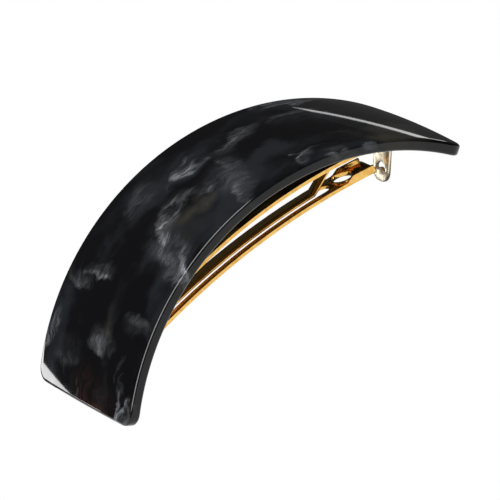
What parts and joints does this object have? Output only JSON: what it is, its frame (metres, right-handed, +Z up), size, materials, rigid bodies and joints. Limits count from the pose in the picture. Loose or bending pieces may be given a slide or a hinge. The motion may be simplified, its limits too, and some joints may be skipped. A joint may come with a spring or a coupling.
{
  "type": "hair barrette",
  "caption": "Wide arched hair barrette: a black marbled acetate plate on a gilt spring clip with a hinged arm, a tension bow and a catch.",
  "frame": {"origin": "centre of the bounding box at its lowest level, which is the lower end of the catch tab", "axes": "+X along the barrette from the hinge end to the catch end, +Y across its width, +Z up through the crest of the arch"},
  "size_m": [0.089, 0.038, 0.0271],
  "materials": {
    "acetate": "polished black cellulose acetate with pearly grey swirls",
    "gilt_steel": "polished, gold-plated spring steel"
  },
  "bodies": {
    "plate_and_base": {"acetate_plate": "acetate", "clip_base": "gilt_steel", "rivet_hinge_end": "gilt_steel", "rivet_catch_end": "gilt_steel", "hinge_pin": "gilt_steel"},
    "arm": {"clasp_arm": "gilt_steel"},
    "bow": {"tension_bow": "gilt_steel"},
    "tab": {"catch_tab": "gilt_steel"}
  },
  "joints": [
    {"name": "arm_hinge", "type": "hinge", "parent": "plate_and_base", "child": "arm", "pos_m": [-0.03453, 0, 0.00623], "axis": [0, 1, 0], "range_deg": [0, 80]},
    {"name": "bow_hinge", "type": "hinge", "parent": "plate_and_base", "child": "bow", "pos_m": [-0.03453, 0, 0.00623], "axis": [0, 1, 0], "range_deg": [0, 16]},
    {"name": "tab_flex", "type": "hinge", "parent": "plate_and_base", "child": "tab", "pos_m": [0.03678, 0, 0.00716], "axis": [0, -1, 0], "range_deg": [0, 12], "stiffness_Nm_per_rad": 0.1}
  ],
  "couplings": [
    {"joint": "bow_hinge", "follows": "arm_hinge", "ratio": 0.2}
  ]
}
